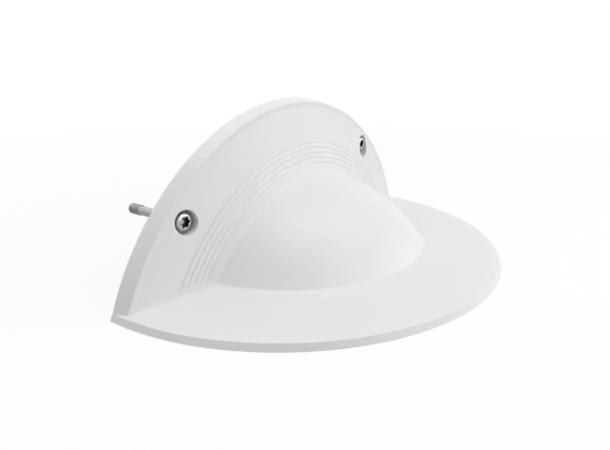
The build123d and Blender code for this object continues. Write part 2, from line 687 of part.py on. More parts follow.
def vent_membrane():
    top = COVER_T + VENT_FLANGE_T
    return rod_z(0, VENT_Y, MEMBRANE_D, top, top + MEMBRANE_T)


# ---------------------------------------------------------------- all the pieces
def all_nodes():
    seat = -POCKET_FLOOR
    head_seat = -M3_HEAD_H - GAP
    nodes = {
        "radome_housing": radome_housing(),
        "rear_cover": rear_cover(),
        "rear_cover_gasket": rear_cover_gasket(),
        "rear_cover_screws": [facing_back(x, head_seat, z) * cover_screw() for x, z in REAR_SCREWS],
        "rear_cover_inserts": [facing_back(x, -REBATE_DEPTH, z) * insert() for x, z in REAR_SCREWS],
        "base_cover": base_cover(),
        "base_cover_gasket": base_cover_gasket(),
        "base_cover_screws": [facing_down(x, y, -head_seat) * cover_screw() for x, y in BASE_SCREWS],
        "base_cover_inserts": [facing_down(x, y, REBATE_DEPTH) * insert() for x, y in BASE_SCREWS],
        "transceiver_board": transceiver_board(),
        "shield_can": shield_can(),
        "processor_chip": block(CHIP_PLACE, CHIP_SIZE, LOWER_BOARD_Y + CHIP_SIZE[1]),
        "power_coil": power_coil(),
        "board_header": board_header(),
        "coax_sockets": [
            coax_socket(BOARD_FRONT, BOARD_FRONT - COAX_H),
            coax_socket(ANTENNA_Y, ANTENNA_Y + COAX_H),
        ],
        "coax_bullet": coax_bullet(),
        "reflector_plate": reflector_plate(),
        "antenna_board": antenna_board(),
        "radiating_patches": radiating_patches(),
        "feed_lines": feed_lines(),
        "lower_standoffs": [lower_standoff(x, z) for x, z in standoff_places()],
        "upper_standoffs": [upper_standoff(x, z) for x, z in standoff_places()],
        "standoff_screws": [facing_back(x, head_seat, z) * cover_screw() for x, z in standoff_places()],
        "antenna_screws": [facing_front(x, ANTENNA_FRONT, z) * cover_screw() for x, z in standoff_places()],
        "connector_shell": connector_shell(),
        "connector_insulator": connector_insulator(),
        "connector_contacts": connector_contacts(),
        "connector_nut": connector_nut(),
        "connector_seal": connector_seal(),
        "connector_wires": connector_wires(),
        "vent_plug": vent_plug(),
        "vent_membrane": vent_membrane(),
    }
    for side, ((x, z), travel) in SCREW_HOLES.items():
        screw_z = z + travel / 2                # the unit hangs on it, so it lies at its slot's upper end
        nodes["fixing_screw_" + side] = fixing_screw(x, screw_z)
        nodes["screw_washer_" + side] = washer_y(x, screw_z, WASHER_D, WASHER_BORE, 0, seat, seat - WASHER_T)
        sleeve_back = -RETAINER_T - 2 * GAP
        nodes["boss_sleeve_" + side] = washer_y(x, z, SLEEVE_D, SLEEVE_BORE, travel, seat, sleeve_back)
        nodes["screw_retainer_" + side] = washer_y(
            x, z, RETAINER_D, RETAINER_BORE, travel, -GAP, -RETAINER_T - GAP)
    return nodes


def main():
    os.makedirs("parts", exist_ok=True)
    for name, shape in all_nodes().items():
        if isinstance(shape, list):
            shape = Compound(children=shape)
        export_step(shape, f"parts/{name}.step")


if __name__ == "__main__":
    main()
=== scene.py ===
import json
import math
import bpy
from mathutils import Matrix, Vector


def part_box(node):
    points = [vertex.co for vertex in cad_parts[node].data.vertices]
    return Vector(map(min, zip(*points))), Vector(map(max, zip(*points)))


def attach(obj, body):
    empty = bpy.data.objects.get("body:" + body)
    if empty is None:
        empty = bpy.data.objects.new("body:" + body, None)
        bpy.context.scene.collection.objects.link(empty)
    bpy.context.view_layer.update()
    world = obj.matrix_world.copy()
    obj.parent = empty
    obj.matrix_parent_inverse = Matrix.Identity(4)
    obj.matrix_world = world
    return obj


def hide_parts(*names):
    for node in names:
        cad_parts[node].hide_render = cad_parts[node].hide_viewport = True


bl_info = {
    "name": "Wall-mounted radar dome",
    "version": (1, 0, 0),
    "blender": (4, 5, 0),
    "location": "View3D > Sidebar > Radar Dome",
    "description": "Dresses the radar dome antenna's packed solids and sets the studio round them",
    "category": "Object",
}

import bpy
import numpy as np
from mathutils import Matrix, Vector

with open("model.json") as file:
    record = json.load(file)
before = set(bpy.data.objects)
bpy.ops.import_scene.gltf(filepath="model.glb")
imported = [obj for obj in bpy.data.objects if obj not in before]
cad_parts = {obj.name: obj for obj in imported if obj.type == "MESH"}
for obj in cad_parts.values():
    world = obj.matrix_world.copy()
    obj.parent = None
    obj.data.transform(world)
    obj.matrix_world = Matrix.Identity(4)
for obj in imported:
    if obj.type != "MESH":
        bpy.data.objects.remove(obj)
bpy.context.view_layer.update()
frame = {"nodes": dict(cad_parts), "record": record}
NODES = frame["nodes"]
MM = 0.001


def middle_of(node):
    """Middle of a CAD node's box, in metres."""
    low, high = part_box(node)
    return tuple((a + b) / 2 for a, b in zip(low, high))


# Studio, in metres. Lamps: name, bearing from +X, height above the floor (degrees) and power (watts)
LAMPS = (
    ("overhead", 0, 90, 3.55),
    ("front", 270, 24, 2.6),
    ("front_right", 315, 10, 2.65),
    ("high_front_right", 315, 60, 1.95),
    ("back", 77, 42, 1.6),
    ("back_left", 135, 32, 1.5),
    ("left", 180, 10, 0.9),
)
LAMP_SIZE = 0.7
LAMP_REACH = 1.0                            # from the target
LAMP_TARGET = (0.0, -0.04, 0.03)
CAMERA_PLACE = (-0.2022, -0.1581, 0.0941)
CAMERA_BACK = (-0.7660, -0.5607, 0.3144)    # the way the camera's back looks
CAMERA_RIGHT = (0.5907, -0.8069, 0.0)
SENSOR_WIDTH = 36.0                         # in millimetres
FLOOR_HALF = 4.0
FLOOR_NEAR = 0.15                           # from the origin: where the floor starts to whiten
FLOOR_FAR = 0.7                             # and where it is white
FLOOR_COLOUR = (0.99, 0.99, 0.99, 1.0)
WHITE = (1.0, 1.0, 1.0, 1.0)

# Grooves on the wall's front, in metres, and their painted shade and light as factors of the housing's
# colour
GROOVE_OUTER = 0.1064       # radius of the outermost
GROOVE_PITCH = 0.00276
GROOVE_COUNT = 5
GROOVE_CENTRE = -0.0487     # height of their centre
GROOVE_FOOT = 0.0061        # height at which they end
GROOVE_FRONT = -0.006       # y in front of which the shade lies
# painted light in the grooves near the top, painted shade in them towards -X
GROOVE_PAINTED_LIGHT = 1.05
GROOVE_PAINTED_SHADE = 0.93
GROOVE_SHADE_FROM = -0.02           # x where the painted shade starts, and how much further it is complete
GROOVE_SHADE_REACH = 0.06
EDGE_BLUR = 0.00005         # over which a painted border fades

# Fixing screws, in millimetres
SCREW_FACE = -7.9           # y of the head's flat face, of its seat and of the thread's start and end
SCREW_SEAT = -4.2
THREAD_START = 22.2
THREAD_END = 29.35
THREAD_ROWS = 118
THREAD_FADE = 0.5           # over which the thread runs in and out
SHANK_RADIUS = 2.15
CREST_RISE = 0.35           # of the thread's crest above the shank
HEAD_RADIUS = 4.1
HEAD_ROUND = 1.3
HEAD_STEPS = 11
LOBES = 6
SCREW_SIDES = 96
RECESS_ROWS = (             # radius, y and height of the lobes, from the recess's floor to its mouth
    (0.25, -5.35, 0.0), (1.2, -5.6, 0.05), (1.9, -5.66, 0.2), (2.12, -5.68, 0.3), (2.2, -5.76, 0.32),
    (2.24, -6.4, 0.33), (2.26, -7.3, 0.33), (2.27, -7.66, 0.33), (2.31, -7.8, 0.33),
    (2.38, SCREW_FACE + 0.02, 0.32), (2.48, SCREW_FACE, 0.26), (2.62, SCREW_FACE, 0.1),
    (2.7, SCREW_FACE, 0.0),
)
SEAT_ROWS = (               # radius and y, from the head's side to the plain shank
    (HEAD_RADIUS, -5.6), (HEAD_RADIUS, SCREW_SEAT - 0.16), (4.06, SCREW_SEAT - 0.04), (3.95, SCREW_SEAT),
    (2.5, SCREW_SEAT), (2.25, SCREW_SEAT + 0.03), (SHANK_RADIUS, SCREW_SEAT + 0.14), (SHANK_RADIUS, 0.0),
    (SHANK_RADIUS, 12.0), (SHANK_RADIUS, 21.9),
)
TIP_ROWS = (                # radius, y and share of the thread's depth
    (2.44, 29.45, 0.25), (2.3, 29.62, 0.1), (2.1, 29.78, 0.0), (1.8, 29.9, 0.0), (1.4, 29.97, 0.0),
    (0.7, 30.0, 0.0),
)

# Painted shade on the fixing screws, in metres
PAINTED_RECESS_SPAN = (-0.00786, -0.0051, 0.0029)      # y of the painted shade's start and end, and its radius
RECESS_UNSHADED = 0.0008                            # radius of the recess floor's middle, kept free of painted shade
RECESS_SHADE = 0.14                             # painted shade in the recess, as a factor of the steel's colour
PAINTED_SHANK_FROM = -0.004                            # y behind which the bar is darker with painted shade
SHANK_SHADE = 0.62

# Connector shell, in millimetres
BORE_RADIUS = 4.7
BARREL_RADIUS = 6.0
FLANGE_RADIUS = 9.0
FLANGE_THICK = 2.0
COUPLING_ROWS = 130
COUPLING_START = 2.2        # the coupling thread starts this far behind the flange
COUPLING_FADE = 0.7
COUPLING_DEPTH = 0.5
CHAMFER = 0.45              # at the end of the coupling thread
NUT_ROWS = 34
NUT_STOP = 2.2              # the nut's thread ends this far inside the wall
PLAIN_THREAD = 0.3          # share of the depth that is left on the plain stretches
BARREL_SIDES = 120


# ---------------------------------------------------------------- settings
class RadarHousingSettings(bpy.types.PropertyGroup):
    colour: bpy.props.FloatVectorProperty(
        name="Housing colour", description="Colour of the moulded plastic", subtype="COLOR",
        size=3, default=(0.824, 0.817, 0.809), min=0.0, max=1.0)
    roughness: bpy.props.FloatProperty(
        name="Roughness", description="Mean roughness of the moulded skin", default=0.42,
        min=0.05, max=1.0)
    grain: bpy.props.FloatProperty(
        name="Grain", description="Size of the mould's spark-eroded grain", default=0.0006,
        unit="LENGTH")
    grain_depth: bpy.props.FloatProperty(
        name="Grain depth", description="Height of that grain", default=0.000012,
        unit="LENGTH", precision=6)


class RadarScrewSettings(bpy.types.PropertyGroup):
    steel: bpy.props.FloatVectorProperty(
        name="Steel", description="Colour of the stainless steel", subtype="COLOR",
        size=3, default=(0.46, 0.455, 0.45), min=0.0, max=1.0)
    pitch: bpy.props.FloatProperty(
        name="Thread pitch", description="Pitch of the fixing screws' thread", default=0.0008,
        unit="LENGTH", precision=5)
    thread_depth: bpy.props.FloatProperty(
        name="Thread depth", description="Depth of that thread", default=0.00046,
        unit="LENGTH", precision=5)


class RadarStageSettings(bpy.types.PropertyGroup):
    lens: bpy.props.FloatProperty(
        name="Lens", description="Camera focal length in millimetres", default=27.0,
        min=10.0, max=200.0)
    ambient: bpy.props.FloatProperty(
        name="Ambient", description="Strength of the even light from all round", default=0.15,
        min=0.0, max=2.0)
    floor_bounce: bpy.props.FloatProperty(
        name="Floor bounce", description="How much light the floor throws back on the object",
        default=0.45, min=0.0, max=1.0)
    floor_glow: bpy.props.FloatProperty(
        name="Floor glow", description="Share of the floor's white that is not lit", default=0.78,
        min=0.0, max=1.0)


# ---------------------------------------------------------------- shader arithmetic
class Wire:
    """A shader socket on which Python's operators add Math nodes."""

    def __init__(self, paint, socket):
        self.paint = paint
        self.socket = socket

    def _math(self, operation, first, second=None, **settings):
        values = {0: first} if second is None else {0: first, 1: second}
        return self.paint.node("ShaderNodeMath", {"operation": operation, **settings}, values)[0]

    def __add__(self, other):
        return self._math("ADD", self, other)

    __radd__ = __add__

    def __mul__(self, other):
        return self._math("MULTIPLY", self, other)

    def __sub__(self, other):
        return self._math("SUBTRACT", self, other)

    def __rsub__(self, other):
        return self._math("SUBTRACT", other, self)

    def __truediv__(self, other):
        return self._math("DIVIDE", self, other)

    def __pow__(self, other):
        return self._math("POWER", self, other)

    def sine(self):
        return self._math("SINE", self)

    def clipped(self):
        return self._math("ADD", self, 0.0, use_clamp=True)


class Paint:
    """One material being built: its node tree, its Principled shader and its Object coordinates."""

    def __init__(self, name):
        self.material = bpy.data.materials.new(name)
        self.material.use_nodes = True
        self.tree = self.material.node_tree
        self.tree.nodes.clear()
        self.output = self.tree.nodes.new("ShaderNodeOutputMaterial")
        self.shader = self.tree.nodes.new("ShaderNodeBsdfPrincipled")
        self.tree.links.new(self.shader.outputs[0], self.output.inputs["Surface"])
        self.where = self.node("ShaderNodeTexCoord")["Object"]

    def node(self, kind, settings=None, values=None):
        """Any node, from its type, its settings and the values or links of its sockets, as its outputs."""
        made = self.tree.nodes.new(kind)
        for key, setting in (settings or {}).items():
            setattr(made, key, setting)
        for key, value in (values or {}).items():
            if isinstance(value, Wire):
                self.tree.links.new(value.socket, made.inputs[key])
            else:
                made.inputs[key].default_value = value
        outputs = {index: Wire(self, socket) for index, socket in enumerate(made.outputs)}
        outputs.update({socket.name: Wire(self, socket) for socket in made.outputs})
        return outputs

    def noise(self, scale, detail, roughness, where=None):
        """Noise with features about 1 / scale metres across, from 0 to 1."""
        values = {"Vector": where or self.where, "Scale": scale, "Detail": detail, "Roughness": roughness}
        return self.node("ShaderNodeTexNoise", None, values)["Fac"]

    def placed(self, location=(0, 0, 0), scale=(1, 1, 1)):
        """Object coordinates moved and scaled by a Mapping node."""
        values = {"Vector": self.where, "Location": location, "Scale": scale}
        return self.node("ShaderNodeMapping", None, values)["Vector"]

    def parts(self, vector):
        """The x, y and z of a vector."""
        split = self.node("ShaderNodeSeparateXYZ", None, {"Vector": vector})
        return split["X"], split["Y"], split["Z"]

    def mix(self, factor, first, second):
        """Colour between two colours."""
        values = {"Factor": factor, 6: first, 7: second}
        return self.node("ShaderNodeMix", {"data_type": "RGBA"}, values)[2]

    def bump(self, height, distance):
        """Normal of a relief that rises by distance, in metres, where height is 1."""
        values = {"Height": height, "Distance": distance, "Strength": 1.0}
        return self.node("ShaderNodeBump", None, values)["Normal"]

    def finish(self, **values):
        """Sets the shader's sockets: a Wire is linked, anything else is a constant."""
        names = {"colour": "Base Color", "roughness": "Roughness", "metallic": "Metallic",
                 "normal": "Normal", "ior": "IOR"}
        for key, value in values.items():
            socket = self.shader.inputs[names[key]]
            if isinstance(value, Wire):
                self.tree.links.new(value.socket, socket)
            else:
                socket.default_value = value
        return self.material


def shade(colour, factor):
    """A colour made darker or lighter by a factor, with its alpha."""
    return tuple(min(1.0, part * factor) for part in colour) + (1.0,)


def slot_colour(slot):
    """The record's own colour for a material slot."""
    for entry in frame["record"]["materials"]:
        if entry["slot"] == slot:
            return tuple(entry["base_color"][:3])
    raise ValueError(f"no material slot {slot}")


# ---------------------------------------------------------------- finishes
RING_PITCH = 0.00018        # of turning marks on a face and along a shaft, in metres
BAND_PITCH = 0.000306
LANE_PITCH = 0.0016         # of copper lanes along X and along Z
ROW_PITCH = 0.0021
WEAVE_PITCH = 0.0009        # of the laminate's glass cloth


def moulded_plastic(name, colour, roughness, grain, depth, mottle=0.02, painted_grooves=False):
    """Injection-moulded plastic: faint flow mottling, spark-eroded grain and a slightly uneven gloss."""
    paint = Paint(name)
    flow = paint.noise(14.0, 3.0, 0.5)
    cloud = paint.noise(55.0, 2.0, 0.5)
    speck = paint.noise(1 / grain, 2.0, 0.6)
    fine = paint.noise(2.6 / grain, 1.0, 0.5)
    mottling = (flow * 0.7 + cloud * 0.3).clipped()
    tone = paint.mix(mottling, shade(colour, 1 - mottle), shade(colour, 1 + mottle))
    # painted shade and painted light in the wall's grooves
    if painted_grooves:
        tone = painted_groove_shade(paint, tone, colour)
    gloss = roughness - 0.05 + flow * 0.06 + speck * 0.04
    skin = paint.bump(speck * 0.7 + fine * 0.3, depth)
    return paint.finish(colour=tone, roughness=gloss, normal=skin, ior=1.5)


def painted_groove_shade(paint, tone, colour):
    """The tone with painted shade in the wall's grooves towards -X and painted light in them near the
    top. The grooves are the crests of sin(2 pi (radius - outermost) / pitch + pi / 2) about their centre."""
    x, y, z = paint.parts(paint.where)
    radius = (x * x + (z - GROOVE_CENTRE) * (z - GROOVE_CENTRE)) ** 0.5
    wave = ((radius - GROOVE_OUTER) * (2 * math.pi / GROOVE_PITCH) + math.pi / 2).sine()
    held = ((GROOVE_OUTER + GROOVE_PITCH / 2 - radius) / EDGE_BLUR).clipped()
    held = held * ((radius - GROOVE_OUTER + (GROOVE_COUNT - 0.5) * GROOVE_PITCH) / EDGE_BLUR).clipped()
    held = held * ((z - GROOVE_FOOT) / EDGE_BLUR).clipped() * ((GROOVE_FRONT - y) / EDGE_BLUR).clipped()
    # painted shade in the grooves towards -X, painted light in them from x = -0.02 m on
    shaded_side = ((GROOVE_SHADE_FROM - x) / GROOVE_SHADE_REACH).clipped()
    groove = paint.mix(shaded_side, shade(colour, GROOVE_PAINTED_LIGHT), shade(colour, GROOVE_PAINTED_SHADE))
    return paint.mix(held * (wave * 0.7 + 0.3).clipped(), tone, groove)


def rubber(name, colour):
    """Moulded rubber with a fine bloom."""
    paint = Paint(name)
    bloom = paint.noise(240.0, 4.0, 0.6)
    pores = paint.noise(2400.0, 2.0, 0.5)
    tone = paint.mix(bloom, shade(colour, 1.0), shade(colour, 2.2))
    return paint.finish(colour=tone, roughness=0.72 + bloom * 0.16, normal=paint.bump(pores, 0.00001))


def turned_metal(name, colour, axis_xz, roughness, fixing=False):
    """Metal turned on a lathe: fine rings round its own axis, and faint handling marks. On a fixing screw
    the drive recess is near black and the shank and thread are darker, all painted shade, and duller."""
    paint = Paint(name)
    across, upright = axis_xz
    x, y, z = paint.parts(paint.placed((-across, 0, -upright)))
    radius = (x * x + z * z) ** 0.5
    rings = (radius * (2 * math.pi / RING_PITCH)).sine() * 0.5 + 0.5
    marks = paint.noise(900.0, 5.0, 0.65)
    stain = paint.noise(160.0, 3.0, 0.5)
    bands = (y * (2 * math.pi / BAND_PITCH)).sine() * 0.5 + 0.5
    tone = paint.mix(stain, shade(colour, 0.9), shade(colour, 1.08))
    gloss = roughness - 0.05 + marks * 0.14 + stain * 0.05
    # on a fixing screw: painted shade in the drive recess and on the shank
    if fixing:
        mouth, bottom, reach = PAINTED_RECESS_SPAN
        # painted shade: the shank and thread are darker behind y = -4 mm
        rolled = ((y - PAINTED_SHANK_FROM) / 0.002).clipped()
        # painted shade in the drive recess, near black but for the middle of its floor
        painted_recess = ((y - mouth) / 0.0003).clipped() * ((bottom - y) / 0.0001).clipped()
        painted_recess = painted_recess * ((reach - radius) / 0.0002).clipped() * ((radius - RECESS_UNSHADED) / 0.0006).clipped()
        tone = paint.mix(rolled, tone, shade(colour, SHANK_SHADE))
        tone = paint.mix(painted_recess, tone, shade(colour, RECESS_SHADE))
        gloss = gloss + rolled * 0.12 + painted_recess * 0.15
    relief = paint.bump(rings * 0.5 + bands * 0.2 + marks * 0.3, 0.000004)
    return paint.finish(colour=tone, roughness=gloss, metallic=1.0, normal=relief)


def plated_metal(name, colour, roughness=0.3):
    """Plated or stamped metal with faint brushing along X and small stains."""
    paint = Paint(name)
    brush = paint.noise(700.0, 4.0, 0.6, paint.placed(scale=(0.12, 1, 1)))
    stain = paint.noise(90.0, 4.0, 0.55)
    tone = paint.mix(stain, shade(colour, 0.88), shade(colour, 1.06))
    gloss = roughness - 0.06 + brush * 0.16
    return paint.finish(colour=tone, roughness=gloss, metallic=1.0, normal=paint.bump(brush, 0.000004))


def circuit_board(name, colour):
    """Solder-masked board: copper runs show as slightly paler, raised lanes under the mask."""
    paint = Paint(name)
    x, _, z = paint.parts(paint.where)
    wander = paint.noise(60.0, 1.0, 0.4) * 0.006
    lanes = ((x + wander) * (2 * math.pi / LANE_PITCH)).sine()
    rows = ((z + wander) * (2 * math.pi / ROW_PITCH)).sine()
    zones = paint.noise(45.0, 0.0, 0.0)
    pick = paint.node("ShaderNodeMath", {"operation": "GREATER_THAN"}, {0: zones, 1: 0.5})[0]
    runs = (lanes * pick + rows * (1 - pick)) * 3.0
    runs = (runs - 0.9).clipped()
    weave = paint.noise(1500.0, 2.0, 0.5)
    tone = paint.mix(runs, shade(colour, 0.85), shade(colour, 1.5))
    relief = paint.bump(runs + weave * 0.2, 0.00003)
    return paint.finish(colour=tone, roughness=0.32 + weave * 0.12, normal=relief)


def laminate(name, colour):
    """Bare microwave laminate: a pale glass weave just under the surface."""
    paint = Paint(name)
    x, _, z = paint.parts(paint.where)
    warp = (x * (2 * math.pi / WEAVE_PITCH)).sine()
    weft = (z * (2 * math.pi / WEAVE_PITCH)).sine()
    weave = warp * weft * 0.5 + 0.5
    blotch = paint.noise(70.0, 3.0, 0.5)
    tone = paint.mix(weave * 0.6 + blotch * 0.4, shade(colour, 0.9), shade(colour, 1.06))
    return paint.finish(colour=tone, roughness=0.45 + blotch * 0.1, normal=paint.bump(weave, 0.000008))


def membrane(name, colour):
    """Expanded membrane: soft fibrous white."""
    paint = Paint(name)
    fibre = paint.noise(3000.0, 4.0, 0.7)
    tone = paint.mix(fibre, shade(colour, 0.9), shade(colour, 1.04))
    return paint.finish(colour=tone, roughness=0.85 + fibre * 0.1, normal=paint.bump(fibre, 0.00002))


def dress(node, material):
    """Puts a finish on a CAD node in place of its own."""
    mesh = NODES[node].data
    mesh.materials.clear()
    mesh.materials.append(material)


# ---------------------------------------------------------------- surfaces
CREST_SHARE = 0.15          # of half a thread's turn, taken by its crest and by its flank
FLANK_SHARE = 0.62
SHARP_ANGLE = 32.0          # edges sharper than this, in degrees, stay sharp


def outward(points, triangles):
    """Whether triangles face outwards: their signed volume, about the points' middle, is positive."""
    corners = points[triangles] - points.mean(axis=0)
    return np.einsum("ij,ij->i", corners[:, 0], np.cross(corners[:, 1], corners[:, 2])).sum() >= 0


def new_piece(name, points, faces):
    """An object at the origin, of points in metres and a list of faces."""
    mesh = bpy.data.meshes.new(name)
    mesh.from_pydata(points.tolist(), [], faces)
    mesh.validate()
    piece = bpy.data.objects.new(name, mesh)
    bpy.context.scene.collection.objects.link(piece)
    return piece


def closed_surface(name, rows):
    """A closed mesh from a (rows, columns, 3) array of rings, each joined to the next, with a middle point
    that closes each end."""
    count, columns, _ = rows.shape
    ends = np.stack([rows[0].mean(axis=0), rows[-1].mean(axis=0)])
    points = np.concatenate([rows.reshape(-1, 3), ends])
    index = np.arange(count * columns).reshape(count, columns)
    turned = np.roll(index, -1, axis=1)
    quads = np.stack([index[:-1], turned[:-1], turned[1:], index[1:]], axis=-1).reshape(-1, 4)
    first, last = count * columns, count * columns + 1
    low = np.stack([turned[0], index[0], np.full(columns, first)], axis=-1)
    high = np.stack([index[-1], turned[-1], np.full(columns, last)], axis=-1)
    if not outward(points, np.concatenate([quads[:, :3], quads[:, [0, 2, 3]], low, high])):
        quads, low, high = quads[:, ::-1], low[:, ::-1], high[:, ::-1]
    return new_piece(name, points, quads.tolist() + low.tolist() + high.tolist())


def ring_surface(name, rows):
    """A closed ring from a (rows, columns, 3) array whose last row joins its first."""
    count, columns, _ = rows.shape
    index = np.arange(count * columns).reshape(count, columns)
    turned = np.roll(index, -1, axis=1)
    after = np.roll(index, -1, axis=0)
    after_turned = np.roll(turned, -1, axis=0)
    quads = np.stack([index, turned, after_turned, after], axis=-1).reshape(-1, 4)
    points = rows.reshape(-1, 3)
    if not outward(points, np.concatenate([quads[:, :3], quads[:, [0, 2, 3]]])):
        quads = quads[:, ::-1]
    return new_piece(name, points, quads.tolist())


def smooth_by_angle(piece):
    """Smooth shading, with edges sharper than the angle left sharp."""
    piece.data.shade_smooth()
    piece.data.set_sharp_from_angle(angle=math.radians(SHARP_ANGLE))


def saw(turns):
    """Thread form over one turn: a flat crest, a straight flank, a flat root and a straight flank.
    It is 0 on the crest and 1 in the root."""
    phase = np.abs((turns % 1.0) - 0.5) * 2.0
    return np.clip((phase - CREST_SHARE) / FLANK_SHARE, 0.0, 1.0)


def head_rows():
    """Quarter circle from the head's flat face out to its side: (radius, y) pairs."""
    return [(HEAD_RADIUS - HEAD_ROUND + HEAD_ROUND * math.sin(angle),
             SCREW_FACE + HEAD_ROUND - HEAD_ROUND * math.cos(angle))
            for angle in np.linspace(0, math.pi / 2, HEAD_STEPS)]


def carried_round(across, upright, reach, y, angle):
    """Points in metres at a reach and y in millimetres, carried round an axis along Y."""
    radius = reach * MM
    return np.stack([across + radius * np.cos(angle), y * MM + 0 * angle, upright + radius * np.sin(angle)],
                    axis=-1)


def screw_rows(across, upright, pitch, thread_depth):
    """Fixing screw as radius over (row, angle): radius = turned radius + lobe x cos(6 angle) - depth x saw.
    The rows run from the floor of the drive recess, over the head and the shank, to the tip."""
    rows = [(radius, y, lobe, 0.0) for radius, y, lobe in RECESS_ROWS]
    rows += [(radius, y, 0.0, 0.0) for radius, y in (*head_rows(), *SEAT_ROWS)]
    for y in np.linspace(THREAD_START, THREAD_END, THREAD_ROWS):
        run_in = min(1.0, (y - THREAD_START) / THREAD_FADE)
        run_out = min(1.0, (THREAD_END + THREAD_FADE / 2 - y) / THREAD_FADE)
        rows.append((SHANK_RADIUS + CREST_RISE * run_in, y, 0.0, run_in * run_out))
    rows += [(radius, y, 0.0, thread) for radius, y, thread in TIP_ROWS]
    radius, y, lobe, thread = (np.array(column)[:, None] for column in zip(*rows))
    angle = np.linspace(0, 2 * math.pi, SCREW_SIDES, endpoint=False)[None, :]
    turns = y * MM / pitch - angle / (2 * math.pi)
    reach = radius + lobe * np.cos(LOBES * angle) - thread * saw(turns) * thread_depth / MM
    return carried_round(across, upright, reach, y, angle)


def barrel_rows(across, upright, inner, outer):
    """Connector shell as one closed ring profile carried round its axis: out along the bore, back over the
    coupling thread, the wrench flange and the inner barrel. Radius on the threads = turned radius - depth x
    saw, with a pitch of 1 mm. Inner and outer are the y of its two ends."""
    barrel, flange, thick = BARREL_RADIUS, FLANGE_RADIUS, FLANGE_THICK
    rows = [(BORE_RADIUS, inner, 0.0), (BORE_RADIUS, outer - 0.4, 0.0), (BORE_RADIUS + 0.35, outer, 0.0),
            (barrel - 0.7, outer, 0.0)]
    start = thick + COUPLING_START
    for y in np.linspace(outer - 0.15, start, COUPLING_ROWS):
        share = max(0.0, min(1.0, (outer - y) / COUPLING_FADE, (y - start) / COUPLING_FADE))
        rows.append((barrel - CHAMFER * max(0.0, 1 - (outer - y) / 0.5), y, share))
    rows += [(barrel - 0.4, thick + 2.0, 0.0), (barrel - 0.4, thick + 0.5, 0.0), (barrel - 0.2, thick, 0.0),
             (flange - 0.5, thick, 0.0), (flange - 0.1, thick - 0.15, 0.0), (flange, thick - 0.45, 0.0),
             (flange, 0.02, 0.0), (barrel + 2.15, 0.0, 0.0), (barrel + 2.15, 1.0, 0.0),
             (barrel + 1.05, 1.0, 0.0), (barrel + 1.05, 0.0, 0.0), (barrel, 0.0, 0.0)]
    for y in np.linspace(-0.2, inner + 0.3, NUT_ROWS):
        rows.append((barrel, y, 1.0 if inner + 0.6 < y < -NUT_STOP else PLAIN_THREAD))
    rows += [(barrel - 0.3, inner, 0.0)]
    radius, y, thread = (np.array(column)[:, None] for column in zip(*rows))
    angle = np.linspace(0, 2 * math.pi, BARREL_SIDES, endpoint=False)[None, :]
    reach = radius - thread * saw(y - angle / (2 * math.pi)) * COUPLING_DEPTH
    return carried_round(across, upright, reach, y, angle)


